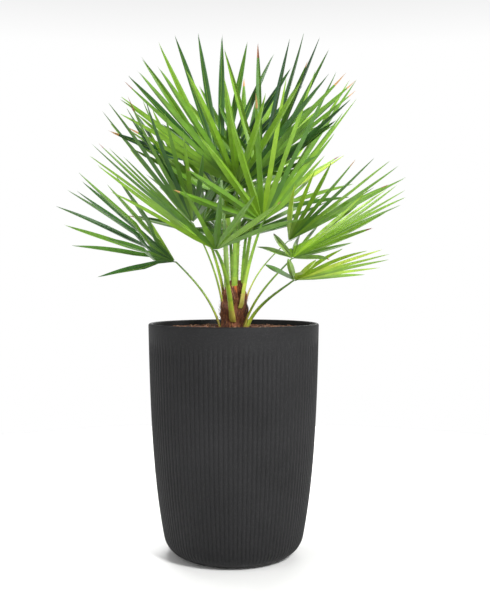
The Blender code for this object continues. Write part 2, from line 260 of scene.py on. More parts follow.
FRONDS = {
    "left_low": Frond(200, 0.143, 0.157, 185, 0.004, 0.009, 198, 30, 36, 96, 12, 0.305, 2, 0.04, 4.9),
    "front": Frond(253, 0.136, 0.182, 265, 0.024, 0.014, 238, 18, 18, 126, 13, 0.378, 25, 0.03, 3.6),
    "left_mid": Frond(180, 0.098, 0.250, 190, 0.062, 0.009, 181, 52, -12, 170, 15, 0.340, 12, 0.03, 4.3),
    "left_back": Frond(137, 0.105, 0.255, 150, 0.070, 0.009, 130, 58, -12, 150, 14, 0.350, 16, 0.03, 4.6),
    "centre_front": Frond(278, 0.060, 0.327, 265, 0.100, 0.010, 280, 24, 0, 190, 17, 0.375, 35, 0.02, 3.6),
    "top_left": Frond(118, 0.070, 0.367, 160, 0.096, 0.010, 124, 81, 9, 134, 14, 0.358, 14, 0.03, 5.7),
    "top_right": Frond(25, 0.067, 0.350, 20, 0.096, 0.010, 43, 75, -5, 140, 13, 0.370, 20, 0.03, 5.5),
    "right_upper": Frond(335, 0.072, 0.249, 300, 0.055, 0.012, 315, 54, -14, 156, 15, 0.390, 14, 0.02, 3.9),
    "right_back": Frond(28, 0.148, 0.210, 20, 0.070, 0.007, 356, 30, 7, 146, 15, 0.325, 17, 0.04, 3.3),
    "right_mid": Frond(332, 0.150, 0.165, 320, 0.004, 0.009, 14, 35, -6, 176, 16, 0.303, 6, 0.04, 2.8),
    "right_low": Frond(348, 0.142, 0.115, 345, 0.002, 0.010, 318, 20, 3, 134, 10, 0.240, 2, 0.05, 2.3),
    "back_low": Frond(95, 0.130, 0.215, 95, 0.045, 0.010, 95, 28, 0, 180, 15, 0.310, 18, 0.03, 3.8),
    "back_left": Frond(112, 0.095, 0.325, 125, 0.080, 0.009, 112, 48, 0, 160, 14, 0.310, 16, 0.02, 4.4),
    "back_right": Frond(72, 0.120, 0.275, 60, 0.060, 0.009, 68, 42, 0, 150, 14, 0.310, 16, 0.02, 4.0),
    "back_upper": Frond(78, 0.100, 0.375, 85, 0.096, 0.009, 78, 60, 0, 120, 12, 0.310, 14, 0.01, 4.6),
}

# Leaf greens from pale to dark: the leaflets' own greens, and painted light and shade too, the palest
# standing for sunlit green and the darkest for green in shadow
LEAF_GREENS_AND_SHADE = (
    (0.400, 0.540, 0.060),
    (0.290, 0.450, 0.030),
    (0.205, 0.360, 0.018),
    (0.142, 0.280, 0.014),
    (0.092, 0.208, 0.012),
    (0.052, 0.142, 0.012),
    (0.027, 0.092, 0.013),
    (0.014, 0.060, 0.013),
)
RIB_COLOUR = (0.300, 0.440, 0.080)
TIP_COLOURS = ((0.420, 0.230, 0.085), (0.190, 0.075, 0.030))
STALK_COLOURS = (
    (0.330, 0.290, 0.045),
    (0.320, 0.390, 0.035),
    (0.230, 0.360, 0.026),
    (0.160, 0.290, 0.022),
    (0.100, 0.215, 0.020),
)
STALK_BANDS = (0.07, 0.18, 0.42, 0.75)  # shares of the length at which the colour changes
STALK_SHIFT = (-0.05, 0.08)
GREENER_STALKS = ("centre_front", "top_left", "top_right", "back_left", "back_right", "back_upper")
GREENER = 0.34  # how far up their colours those stalks start
THORN_COLOUR = (0.360, 0.330, 0.080)
SOIL_COLOURS = (
    (0.085, 0.035, 0.018),
    (0.140, 0.055, 0.027),
    (0.200, 0.085, 0.042),
    (0.270, 0.130, 0.070),
    (0.045, 0.020, 0.012),
    (0.450, 0.330, 0.230),
)
TRUNK_COLOURS = (
    (0.030, 0.010, 0.006),
    (0.090, 0.027, 0.012),
    (0.165, 0.052, 0.020),
    (0.280, 0.105, 0.036),
    (0.440, 0.220, 0.085),
)
ORANGE_COLOUR = (0.420, 0.105, 0.016)
POT_COLOUR = (0.0115, 0.0115, 0.0122)

# Old leaf bases on the trunk: heading, height of foot and top over the soil, width, colour number
SHEATHS = (
    (266, 0.066, 0.112, 0.010, 5),
    (250, 0.050, 0.108, 0.020, 1),
    (225, 0.002, 0.070, 0.020, 1),
    (282, 0.002, 0.060, 0.018, 2),
    (310, 0.012, 0.084, 0.022, 1),
    (345, 0.004, 0.066, 0.020, 0),
    (15, 0.020, 0.092, 0.022, 1),
    (60, 0.004, 0.070, 0.022, 2),
    (100, 0.016, 0.090, 0.022, 1),
    (140, 0.004, 0.066, 0.020, 1),
    (175, 0.018, 0.094, 0.022, 0),
    (205, 0.006, 0.090, 0.018, 2),
)

CAMERA_PLACE = (0.0266, -2.179, 0.6522)
CAMERA_PITCH = 90 - 1.40
CAMERA_LENS = 55.56
CAMERA_SENSOR = 36

# Lights: name, place, size, watts
LIGHTS = (
    ("key", (1.5, -2.3, 2.2), 0.8, 118),
    ("fill", (-2.4, -1.8, 1.5), 2.2, 14),
    ("top", (-0.3, 0.4, 3.1), 1.2, 100),
    ("back", (0.6, 2.8, 1.9), 2.0, 36),
)
LIGHT_AIM = Vector((0.0, 0.0, 0.75))
DOME = 0.38  # strength overhead, against the white band round the horizon
DOME_EDGE = (0.62, 0.74)  # where the one turns into the other, from 0 straight down to 1 straight up
FLOOR_RADIUS = 1.9
FLOOR_SIDES = 96
FLOOR_COLOUR = (0.90, 0.90, 0.89)
FLOOR_CLOUDS = (3.0, 0.01, 3.0)
FLOOR_ROUGHNESS = 0.85


def turns(sides):
    """The angles of this many even steps round a circle."""
    return [2 * math.pi * side / sides for side in range(sides)]


def tube_faces(rings, sides):
    """Quads between rings of points, and a cap on each end."""
    faces = []
    for ring in range(rings - 1):
        for side in range(sides):
            here = ring * sides + side
            beside = ring * sides + (side + 1) % sides
            faces.append((here, beside, beside + sides, here + sides))
    faces.append(tuple(range(sides)))
    faces.append(tuple(range((rings - 1) * sides, rings * sides)))
    return faces


class Build:
    """Points, faces, the material number of each face and a flat place for each point."""

    def __init__(self):
        self.points = []
        self.faces = []
        self.tones = []
        self.places = []

    def add_point(self, point, place=(0.0, 0.0)):
        self.points.append(tuple(point))
        self.places.append(place)
        return len(self.points) - 1

    def add_face(self, corners, tone=0):
        self.faces.append(tuple(corners))
        self.tones.append(tone)

    def add_rings(self, rings, tone=lambda ring, side: 0, topped=True):
        """A tube through rings of points. tone gives a face's number from its ring and side."""
        sides = len(rings[0])
        first = len(self.points)
        for number, ring in enumerate(rings):
            for side, point in enumerate(ring):
                self.add_point(point, (side / sides, number / (len(rings) - 1)))
        *walls, foot, top = tube_faces(len(rings), sides)
        for number, face in enumerate(walls):
            self.add_face([first + corner for corner in face], tone(*divmod(number, sides)))
        self.add_face([first + corner for corner in foot], tone(0, 0))
        if topped:
            self.add_face([first + corner for corner in top], tone(len(rings) - 2, 0))
        return first


def add_object(name, data):
    made = bpy.data.objects.new(name, data)
    bpy.context.scene.collection.objects.link(made)
    return made


def make_piece(name, build, finishes, replaced=(), sharp=None):
    """One piece of the scene from what was gathered, on the plant's only body."""
    mesh = bpy.data.meshes.new(name)
    mesh.from_pydata(build.points, [], build.faces)
    for finish in finishes:
        mesh.materials.append(finish)
    mesh.polygons.foreach_set("material_index", build.tones)
    layer = mesh.uv_layers.new(name="flat")
    corners = np.zeros(len(mesh.loops), dtype=np.int64)
    mesh.loops.foreach_get("vertex_index", corners)
    places = np.array(build.places, dtype=np.float32)[corners]
    layer.data.foreach_set("uv", places.ravel())
    work = bmesh.new()
    work.from_mesh(mesh)
    bmesh.ops.recalc_face_normals(work, faces=work.faces)
    work.to_mesh(mesh)
    work.free()
    if sharp is not None:
        mesh.shade_smooth()
        mesh.set_sharp_from_angle(angle=math.radians(sharp))
    made = add_object(name, mesh)
    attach(made, "root")
    for node in replaced:
        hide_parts(node)


class Skin(NamedTuple):
    """A waxy skin: how its colour wanders, and the fine veins or streaks along it."""

    roughness: float
    gloss: float
    scale: float
    amount: float
    detail: float
    streaks: float
    waviness: float
    strength: float
    height: float


class Grain(NamedTuple):
    """A dull, grainy skin, whose grain may be drawn out along Z."""

    scale: float
    amount: float
    roughness: float
    strength: float
    stretch: tuple = (1.0, 1.0, 1.0)


LEAF_SKIN = Skin(0.40, 0.45, 38.0, 0.16, 3.0, 5.2, 0.6, 0.22, 0.0004)
TIP_SKIN = LEAF_SKIN._replace(roughness=0.7)
STALK_SKIN = Skin(0.42, 0.5, 60.0, 0.20, 5.0, 6.0, 1.2, 0.15, 0.0003)
THORN_SKIN = STALK_SKIN._replace(roughness=0.5)
SOIL_GRAIN = Grain(160.0, 0.5, 0.95, 0.8)
CHIP_GRAIN = Grain(220.0, 0.35, 0.9, 0.5)
TRUNK_GRAIN = Grain(90.0, 0.6, 0.92, 0.9, (1.0, 1.0, 0.18))
SHEATH_GRAIN = Grain(120.0, 0.5, 0.85, 0.8, (1.0, 1.0, 0.12))
STRAND_GRAIN = Grain(200.0, 0.3, 0.85, 0.2)
GRAIN_DETAIL = 6.0
BUMPS_FINER = 3  # how much finer a grain's bumps are than its colours
BUMPS_DETAIL = 5.0
BUMPS_HEIGHT = 0.0012
VARY_EDGES = (0.3, 0.7)  # of the noise, between which a colour runs from dark to light


def set_inputs(node, **values):
    """Sets a node's inputs, whose names have underscores for spaces here."""
    for name, value in values.items():
        node.inputs[name.replace("_", " ")].default_value = value


def add_node(tree, kind, source=None, **values):
    """A new node with these inputs set, and its first input fed by source."""
    node = tree.nodes.new("ShaderNode" + kind)
    set_inputs(node, **values)
    if source:
        tree.links.new(source, node.inputs[0])
    return node


def add_ramp(tree, source, low, high):
    """A colour that runs from low to high, each a place on the ramp and a colour."""
    ramp = add_node(tree, "ValToRGB", source)
    for stop, (place, colour) in zip(ramp.color_ramp.elements, (low, high)):
        stop.position = place
        stop.color = (*colour, 1.0)
    return ramp.outputs["Color"]


def vary(tree, place, colour, scale, amount, detail):
    """A colour that wanders between a darker and a lighter form of this one."""
    texture = add_node(tree, "TexNoise", place, Scale=scale, Detail=detail)
    darker = [channel * (1 - amount) for channel in colour]
    lighter = [min(1.0, channel * (1 + amount)) for channel in colour]
    low, high = VARY_EDGES
    return add_ramp(tree, texture.outputs["Fac"], (low, darker), (high, lighter))


def add_bump(tree, shader, height, strength, distance):
    bump = add_node(tree, "Bump", Strength=strength, Distance=distance)
    tree.links.new(height, bump.inputs["Height"])
    tree.links.new(bump.outputs["Normal"], shader.inputs["Normal"])


def new_material(name, roughness, gloss=0.5):
    """A material with its node tree, its shader and the places that textures can go by."""
    made = bpy.data.materials.new(name)
    made.use_nodes = True
    tree = made.node_tree
    shader = tree.nodes["Principled BSDF"]
    set_inputs(shader, Roughness=roughness, Specular_IOR_Level=gloss)
    return made, tree, shader, add_node(tree, "TexCoord").outputs


def skin_material(name, colour, skin):
    """Leaf or stalk: a plain green that wanders a little, with fine veins along it."""
    made, tree, shader, places = new_material(name, skin.roughness, skin.gloss)
    tint = vary(tree, places["Object"], colour, skin.scale, skin.amount, skin.detail)
    tree.links.new(tint, shader.inputs["Base Color"])
    veins = add_node(tree, "TexWave", places["UV"], Scale=skin.streaks, Distortion=skin.waviness)
    add_bump(tree, shader, veins.outputs["Fac"], skin.strength, skin.height)
    return made


def rough_material(name, colour, grain):
    """Bark, fibre or soil."""
    made, tree, shader, places = new_material(name, grain.roughness)
    place = add_node(tree, "Mapping", places["Object"], Scale=grain.stretch).outputs["Vector"]
    tint = vary(tree, place, colour, grain.scale, grain.amount, GRAIN_DETAIL)
    tree.links.new(tint, shader.inputs["Base Color"])
    bumps = add_node(tree, "TexNoise", place, Scale=grain.scale * BUMPS_FINER, Detail=BUMPS_DETAIL)
    add_bump(tree, shader, bumps.outputs["Fac"], grain.strength, BUMPS_HEIGHT)
    return made


def pot_material():
    """Pot: matt charcoal with a fine pebbled skin, a few paler grains and faint cloudy wear."""
    made, tree, shader, places = new_material("pot_charcoal", POT_ROUGHNESS, POT_GLOSS)
    clouds = vary(tree, places["Object"], POT_COLOUR, *POT_CLOUDS)
    specks = add_node(tree, "TexVoronoi", places["Object"], Scale=SPECK_SCALE)
    near, far = SPECK_EDGES
    shown = add_ramp(tree, specks.outputs["Distance"], (near, SPECK_SHARE), (far, (0.0, 0.0, 0.0)))
    mix = add_node(tree, "Mix")
    mix.data_type = "RGBA"
    mix.inputs["B"].default_value = SPECK_COLOUR
    tree.links.new(shown, mix.inputs["Factor"])
    tree.links.new(clouds, mix.inputs["A"])
    tree.links.new(mix.outputs["Result"], shader.inputs["Base Color"])
    pebbles = add_node(tree, "TexNoise", places["Object"], Scale=PEBBLE_SCALE, Detail=PEBBLE_DETAIL)
    add_bump(tree, shader, pebbles.outputs["Fac"], *PEBBLE_BUMP)
    return made


def finishes_of(make, name, colours, look):
    """One material of this kind for each colour."""
    return [make(f"{name}_{number}", colour, look) for number, colour in enumerate(colours)]


def smoothstep(low, high, value):
    share = min(1.0, max(0.0, (value - low) / (high - low)))
    return share * share * (3 - 2 * share)


def pot_radius(height):
    down = 1 - height / POT_HEIGHT
    return RIM_RADIUS - POT_TAPER * down - POT_BELLY * down**2 - POT_TUCK * down**4


def wall_slope(height):
    rise = pot_radius(height + SLOPE_STEP) - pot_radius(height - SLOPE_STEP)
    return rise / (2 * SLOPE_STEP)


def foot_profile(inset, steps):
    """Points of the arc between underside and wall, moved in by inset, from the flat upwards."""
    meet = FOOT_ARC
    for _ in range(ARC_ROUNDS):
        lean = math.atan(wall_slope(meet))
        meet = FOOT_ARC * (1 - math.sin(lean))
    centre = pot_radius(meet) - FOOT_ARC * math.cos(lean)
    points = []
    for step in range(steps + 1):
        angle = -math.pi / 2 + (math.pi / 2 - lean) * step / steps
        radius = centre + (FOOT_ARC - inset) * math.cos(angle)
        points.append((radius, FOOT_ARC + (FOOT_ARC - inset) * math.sin(angle)))
    return points, meet


def wall_profile(inset, low, high, rings):
    points = []
    for ring in range(1, rings + 1):
        height = low + (high - low) * ring / rings
        lean = math.atan(wall_slope(height))
        points.append((pot_radius(height) - inset * math.cos(lean), height + inset * math.sin(lean)))
    return points


def lip_profile(steps):
    middle = RIM_RADIUS - LIP_ARC
    points = []
    for step in range(steps + 1):
        angle = math.pi * step / steps
        height = POT_HEIGHT - LIP_ARC + LIP_ARC * math.sin(angle)
        points.append((middle + LIP_ARC * math.cos(angle), height))
    return points


def rib_depth(height, turn):
    """How far the wall lies in from its outline at this height and share of a rib."""
    shown = smoothstep(*RIB_FOOT, height) * (1 - smoothstep(*RIB_TOP, height))
    return RIB_DEPTH * shown * (1 - abs(math.sin(math.pi * turn)) ** RIB_ROUNDING)


def add_pot():
    sides = RIB_COUNT * RIB_POINTS
    arc, meet = foot_profile(0.0, POT_ARC_STEPS)
    inner_arc, _ = foot_profile(WALL, POT_INNER_RINGS)
    top = POT_HEIGHT - LIP_ARC
    outside = arc + wall_profile(0.0, meet, top, POT_WALL_RINGS)[:-1]
    inside = inner_arc + wall_profile(WALL, meet, top, POT_INNER_RINGS)[:-1]
    lip = lip_profile(POT_LIP_STEPS)
    profile = [(radius, height, True) for radius, height in outside]
    profile += [(radius, height, False) for radius, height in lip + inside[::-1]]
    rings = []
    for radius, height, ribbed in profile:
        ring = []
        for side, angle in enumerate(turns(sides)):
            turn = (side % RIB_POINTS) / RIB_POINTS
            out = radius - rib_depth(height, turn) if ribbed else radius
            ring.append((out * math.cos(angle), out * math.sin(angle), height))
        rings.append(ring)
    build = Build()
    build.add_rings(rings)
    make_piece("ribbed_pot", build, [pot_material()], ["pot"], POT_SHARP)


def soil_height(x, y, edge):
    """The soil's top over the pot's underside, with its mound and its crumbs."""
    out = math.hypot(x, y) / edge
    mound = SOIL_MOUND * (1 - smoothstep(MOUND_EDGE, 1.0, out))
    crumbs = 0.0
    for fineness, level, weight in CRUMBS:
        crumbs += weight * noise.noise(Vector((x * fineness, y * fineness, level)))
    return SOIL_TOP + mound + SOIL_RELIEF * crumbs * (1 - smoothstep(CRUMB_EDGE, 1.0, out))


def add_soil():
    """The filling down to the pot's floor, with a crumbly top. Gives the radius of its edge."""
    arc, meet = foot_profile(WALL + CLEAR, POT_INNER_RINGS)
    wall = wall_profile(WALL + CLEAR, meet, SOIL_TOP, POT_INNER_RINGS)
    edge = wall[-1][0]
    profile = arc + wall
    profile += [(edge * (1 - number / SOIL_RINGS), None) for number in range(1, SOIL_RINGS)]
    rings = []
    for radius, height in profile:
        ring = []
        for angle in turns(SOIL_SIDES):
            x, y = radius * math.cos(angle), radius * math.sin(angle)
            ring.append((x, y, soil_height(x, y, edge) if height is None else height))
        rings.append(ring)
    build = Build()
    build.add_rings(rings)
    finish = rough_material("soil_crumb", SOIL_COLOURS[0], SOIL_GRAIN)
    make_piece("soil_bed", build, [finish], ["soil"], SOIL_SHARP)
    return edge


def add_chip(build, edge, draw):
    """One flake of bark or one pale crumb, at its own place and tilt on the soil."""
    out = edge * CHIP_REACH * math.sqrt(draw.uniform(CHIP_INNER, 1.0))
    angle = draw.uniform(0, 2 * math.pi)
    x, y = out * math.cos(angle), out * math.sin(angle)
    length = draw.uniform(*CHIP_SIZE) * draw.uniform(*CHIP_SHRINK)
    width = length * draw.uniform(*CHIP_WIDTH)
    thick = length * draw.uniform(*CHIP_THICK)
    tone = draw.choices(range(len(SOIL_COLOURS)), CHIP_WEIGHTS)[0]
    if tone == len(SOIL_COLOURS) - 1:
        length, width, thick = (one * share for one, share in zip((length, width, thick), PALE_SIZE))
    turn = Matrix.Rotation(draw.uniform(0, 2 * math.pi), 3, "Z")
    lean = Matrix.Rotation(math.radians(draw.gauss(0, CHIP_LEAN)), 3, "X")
    roll = Matrix.Rotation(math.radians(draw.gauss(0, CHIP_LEAN)), 3, "Y")
    middle = Vector((x, y, soil_height(x, y, edge) + thick * CHIP_RAISED))
    rings = []
    for end in (-1, 1):
        ring = []
        for across, height in ((-1, -1), (1, -1), (1, 1), (-1, 1)):
            corner = Vector((end * length, across * width, height * thick)) / 2
            ring.append(middle + turn @ lean @ roll @ (corner * draw.uniform(*CHIP_RAGGED)))
        rings.append(ring)
    build.add_rings(rings, lambda ring, side: tone)


def add_chips(edge, draw):
    build = Build()
    for _ in range(CHIP_COUNT):
        add_chip(build, edge, draw)
    finishes = finishes_of(rough_material, "bark_chip", SOIL_COLOURS, CHIP_GRAIN)
    make_piece("bark_chips", build, finishes)


def trunk_middle(share):
    return TRUNK_FOOT.lerp(TRUNK_TOP, share)


def trunk_radius(share):
    place = share * (len(TRUNK_WIDTHS) - 1)
    low = min(int(place), len(TRUNK_WIDTHS) - 2)
    return TRUNK_WIDTHS[low] + (TRUNK_WIDTHS[low + 1] - TRUNK_WIDTHS[low]) * (place - low)


def trunk_lump(share, angle):
    """The lumps of the solid trunk, which turn with height."""
    ring = share * (len(TRUNK_WIDTHS) - 1)
    wave = math.sin(LUMPS_ROUND * angle + LUMP_TWIST * ring)
    return TRUNK_LUMP * wave * math.sin(math.pi * min(1.0, max(0.0, share)))


def trunk_point(share, angle, proud=0.0):
    middle = trunk_middle(share)
    radius = trunk_radius(min(1.0, share)) + trunk_lump(share, angle) + proud
    return middle + Vector((radius * math.cos(angle), radius * math.sin(angle), 0))


def bark_relief(share, angle):
    """How far the skin stands off the solid's outline: broad ridges, finer ones and hairs."""
    around, up, ridge_height = RIDGES
    spot = Vector((math.cos(angle) * around, math.sin(angle) * around, share * up))
    finer, weight = RIDGE_DETAIL
    ridges = noise.noise(spot) + weight * noise.noise(spot * finer)
    around, up, hair_height = HAIRS
    hairs = noise.noise(Vector((math.cos(angle) * around, math.sin(angle) * around, share * up)))
    return -SKIN_SINK + ridge_height * ridges + hair_height * hairs


def add_trunk():
    """The trunk's skin: long ridges of fibre with dark gaps, over the solid's own lumps."""
    rings = []
    for ring in range(SKIN_RINGS):
        share = ring / (SKIN_RINGS - 1)
        points = []
        for angle in turns(SKIN_SIDES):
            points.append(trunk_point(share, angle, bark_relief(share, angle)))
        rings.append(points)
    build = Build()
    build.add_rings(rings)
    finish = rough_material("trunk_fibre", TRUNK_COLOURS[1], TRUNK_GRAIN)
    make_piece("trunk_skin", build, [finish], ["trunk"], SKIN_SHARP)


def add_sheath(build, sheath, draw):
    """An old leaf base: a curved scale that lies on the trunk and ends in a ragged point."""
    turn, low, high, width, tone = sheath
    lean = math.radians(draw.uniform(-SHEATH_LEAN, SHEATH_LEAN))
    fine_across, fine_along, ridge_height = SHEATH_RIDGES
    rings = []
    for step in range(SHEATH_STEPS + 1):
        way = step / SHEATH_STEPS
        share = (low + (high - low) * way) / (TRUNK_TOP.z - TRUNK_FOOT.z)
        half = width / 2 * (1 - way**SHEATH_POINT) + SHEATH_TIP
        proud = SHEATH_PEEL * way**2 + SHEATH_SWELL * math.sin(math.pi * way) - SHEATH_SUNK
        radius = max(trunk_radius(min(1.0, share)), SHEATH_LEAST_RADIUS)
        outer = []
        inner = []
        for column in range(SHEATH_COLUMNS + 1):
            across = 2 * column / SHEATH_COLUMNS - 1
            angle = math.radians(turn) + lean * way + half * across / radius
            spot = Vector((across * fine_across, way * fine_along, turn))
            ridge = proud + ridge_height * noise.noise(spot)
            outer.append(trunk_point(share, angle, ridge + SHEATH_THICK * (1 - across * across)))
            inner.append(trunk_point(share, angle, ridge - SHEATH_THICK))
        rings.append(outer + inner[::-1])
    build.add_rings(rings, lambda ring, side: tone)


def add_sheaths(draw):
    build = Build()
    for sheath in SHEATHS:
        add_sheath(build, sheath, draw)
    colours = (*TRUNK_COLOURS, ORANGE_COLOUR)
    finishes = finishes_of(rough_material, "leaf_base", colours, SHEATH_GRAIN)
    make_piece("leaf_bases", build, finishes, (), SHEATH_SHARP)


def add_strand(build, points, radius, tone):
    """A thin three-sided fibre through these points."""
    rings = []
    for number, point in enumerate(points):
        before = points[max(0, number - 1)]
        after = points[min(len(points) - 1, number + 1)]
        along = (after - before).normalized()
        side = along.cross(Vector((point.x, point.y, 0.001))).normalized()
        up = side.cross(along)
        thin = radius * (1 - STRAND_THINNING * (number / (len(points) - 1)) ** 2)
        ring = []
        for angle in turns(STRAND_SIDES):
            ring.append(point + (side * math.cos(angle) + up * math.sin(angle)) * thin)
        rings.append(ring)
    build.add_rings(rings, lambda ring, side: tone)


def strand_points(draw):
    """The way of one fibre up the trunk. Some have a loose end that stands away."""
    share = draw.uniform(*STRAND_START)
    angle = draw.uniform(0, 2 * math.pi)
    rise = draw.uniform(*STRAND_RISE)
    drift = draw.gauss(0, STRAND_DRIFT)
    proud = draw.uniform(*STRAND_PROUD)
    loose = draw.uniform(*LOOSE_LIFT) if draw.random() < LOOSE_SHARE else 0.0
    height, waves = STRAND_WAVE
    points = []
    for step in range(STRAND_STEPS):
        way = step / (STRAND_STEPS - 1)
        place = min(STRAND_TOP, max(0.0, share + rise * way))
        lift = proud + loose * way**3 + height * math.sin(waves * way + angle)
        points.append(trunk_point(place, angle + drift * way * rise, lift))
    return points


def add_strands(draw):
    """Fibres that cross on the trunk."""
    build = Build()
    for _ in range(STRAND_COUNT):
        points = strand_points(draw)
        tone = draw.choices(range(len(TRUNK_COLOURS)), STRAND_WEIGHTS)[0]
        add_strand(build, points, draw.uniform(*STRAND_RADIUS), tone)
    finishes = finishes_of(rough_material, "fibre", TRUNK_COLOURS, STRAND_GRAIN)
    make_piece("trunk_strands", build, finishes)


def heading(turn, rise=0.0):
    turn = math.radians(turn)
    rise = math.radians(rise)
    return Vector((math.cos(rise) * math.cos(turn), math.cos(rise) * math.sin(turn), math.sin(rise)))


def hub_of(frond):
    middle = trunk_middle(0.5)
    place = heading(frond.turn) * frond.out
    return Vector((middle.x + place.x, middle.y + place.y, SOIL_TOP + frond.up))


def axes_of(frond):
    """The blade's forward, sideways and upper-face directions."""
    forward = heading(frond.aim, frond.rise)
    face = heading(frond.aim + 180, 90 - frond.rise)
    side = face.cross(forward)
    roll = math.radians(frond.roll)
    face = face * math.cos(roll) + side * math.sin(roll)
    return forward, face.cross(forward), face


def stalk_curve(foot, hub, forward):
    """The four points of the stalk's curve: it leaves the trunk steeply and meets the blade."""
    chord = hub - foot
    leave = (chord.normalized() + Vector((0, 0, STALK_STEEP))).normalized()
    meet = (chord.normalized() * STALK_CARRY + forward).normalized()
    first = foot + leave * chord.length * STALK_LEAVE
    return foot, first, hub - meet * chord.length * STALK_MEET, hub


def on_curve(curve, share):
    first, second, third, last = curve
    rest = 1 - share
    return (
        first * rest**3
        + second * 3 * share * rest**2
        + third * 3 * share**2 * rest
        + last * share**3
    )


def stalk_middle(frond, foot):
    """The curve of the stalk's middle line, short of the hub as in the solids."""
    forward, _, _ = axes_of(frond)
    lean_back = max(0.0, frond.spread / 2 - 90)
    tip_width = frond.width * STALK_TIP_SHARE
    setback = CLEAR + STALK_GAP + tip_width / 2 * math.tan(math.radians(lean_back))
    return stalk_curve(foot, hub_of(frond) - forward * setback, forward)


def stalk_axes(frond, curve, share):
    """The stalk's way, its flat direction and the direction its underside faces, at this share."""
    _, side, _ = axes_of(frond)
    before = on_curve(curve, max(0.0, share - CURVE_STEP))
    along = (on_curve(curve, min(1.0, share + CURVE_STEP)) - before).normalized()
    flat = (side - along * side.dot(along)).normalized()
    return along, flat, flat.cross(along)


def stalk_width(frond, share):
    return frond.width * (1 - (1 - STALK_TIP_SHARE) * share)


def stalk_points(frond, foot):
    """The points of the solid stalk."""
    curve = stalk_middle(frond, foot)
    points = []
    for ring in range(STALK_RINGS):
        share = ring / (STALK_RINGS - 1)
        middle = on_curve(curve, share)
        _, flat, thick = stalk_axes(frond, curve, share)
        for angle in turns(STALK_SIDES):
            across = flat * math.cos(angle) + thick * math.sin(angle) * STALK_FLATNESS
            points.append(middle + across * stalk_width(frond, share) / 2)
    return points


def tree_of(made):
    mesh = made.data
    corners = [vertex.co for vertex in mesh.vertices]
    return BVHTree.FromPolygons(corners, [tuple(face.vertices) for face in mesh.polygons])


def stalk_foot(frond, trunk_tree):
    """The stalk's foot, moved out from the trunk until the whole stalk stands clear of it."""
    share = min(1.0, frond.foot_up / (TRUNK_TOP.z - TRUNK_FOOT.z))
    middle = trunk_middle(share)
    middle.z = GROUND + frond.foot_up
    out = trunk_radius(share) / 2
    while True:
        foot = middle + heading(frond.foot_turn) * out
        points = stalk_points(frond, foot)
        lowest = min(point.z for point in points)
        if lowest < GROUND:
            foot.z += GROUND - lowest
            points = stalk_points(frond, foot)
        tree = BVHTree.FromPolygons(points, tube_faces(STALK_RINGS, STALK_SIDES))
        near = min(trunk_tree.find_nearest(point)[3] for point in points)
        if near > CLEAR and not tree.overlap(trunk_tree):
            return foot
        out += FOOT_STEP


def leaflet_angle(frond, index):
    return 2 * index / (frond.count - 1) - 1


def leaflet_way(frond, place, lift=0.0, turn=0.0):
    """The leaflet's direction and the direction of its upper face."""
    forward, side, face = axes_of(frond)
    angle = math.radians(frond.spread / 2 * place + turn)
    flat = forward * math.cos(angle) + side * math.sin(angle)
    stand = math.radians(frond.cup * abs(math.sin(angle)) + lift)
    return (
        flat * math.cos(stand) + face * math.sin(stand),
        face * math.cos(stand) - flat * math.sin(stand),
    )


def leaflet_length(frond, place):
    return frond.reach * (1 - (1 - SIDE_SHARE) * place**2)


def leaflet_point(frond, way, out):
    drop = frond.sag * out**2 / frond.reach * math.hypot(way.x, way.y)
    return hub_of(frond) + way * out - Vector((0, 0, drop))


class Bend(NamedTuple):
    """How a leaflet passes the others: degrees up and sideways, and the share of its length left."""

    lift: float
    turn: float
    shorter: float


BENDS = [Bend(lift, turn, shorter) for shorter in SHORTER for lift in LIFTS for turn in TURNS]


def leaflet_middle(frond, index, bend, share):
    """A point of the free leaflet's middle line, and its way and upper face."""
    place = leaflet_angle(frond, index)
    way, face = leaflet_way(frond, place, bend.lift, bend.turn)
    web = frond.reach * WEB_SHARE
    free = (leaflet_length(frond, place) - web) * bend.shorter
    return leaflet_point(frond, way, web + free * share), way, face


def find_way(frond, index, corners):
    """The bend that the solid leaflet took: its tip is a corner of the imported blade."""
    return min(BENDS, key=lambda bend: corners.find(leaflet_middle(frond, index, bend, 1.0)[0])[2])


def find_ways(name):
    """The bend of each leaflet of this blade."""
    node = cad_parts["blade_" + name]
    corners = KDTree(len(node.data.vertices))
    for number, vertex in enumerate(node.data.vertices):
        corners.insert(node.matrix_world @ vertex.co, number)
    corners.balance()
    frond = FRONDS[name]
    return [find_way(frond, index, corners) for index in range(frond.count)]


def section(left, valley, right, face, thick):
    """The ring round one section of a fine leaflet: over the top from left to right, back below."""
    bow = BOW * (right - left).length
    ring = []
    for place in TOP_PLACES:
        edge = left if place < 0 else right
        share = abs(place)
        ring.append(valley.lerp(edge, share) + face * bow * 4 * share * (1 - share))
    for place in UNDER_PLACES:
        edge = left if place < 0 else right
        share = abs(place)
        ring.append(valley.lerp(edge, share) + face * (bow * 4 * share * (1 - share) - thick))
    return ring


def web_sections(frond, index):
    """A leaflet's sections inside the web, between the lines along which it meets its neighbours."""
    step = 1 / (frond.count - 1)
    place = leaflet_angle(frond, index)
    hub = hub_of(frond)
    web = frond.reach * WEB_SHARE
    left_way, _ = leaflet_way(frond, place - step)
    right_way, _ = leaflet_way(frond, place + step)
    way, face = leaflet_way(frond, place)
    rings = []
    for share in WEB_STEPS:
        out = web * share
        left = hub + left_way * out
        right = hub + right_way * out
        fold = FOLD_SHARE * (right - left).length / 2
        rings.append(section(left, hub + way * out - face * fold, right, face, LEAF_THICK))
    notch = (hub + left_way * web, hub + right_way * web)
    return rings, notch


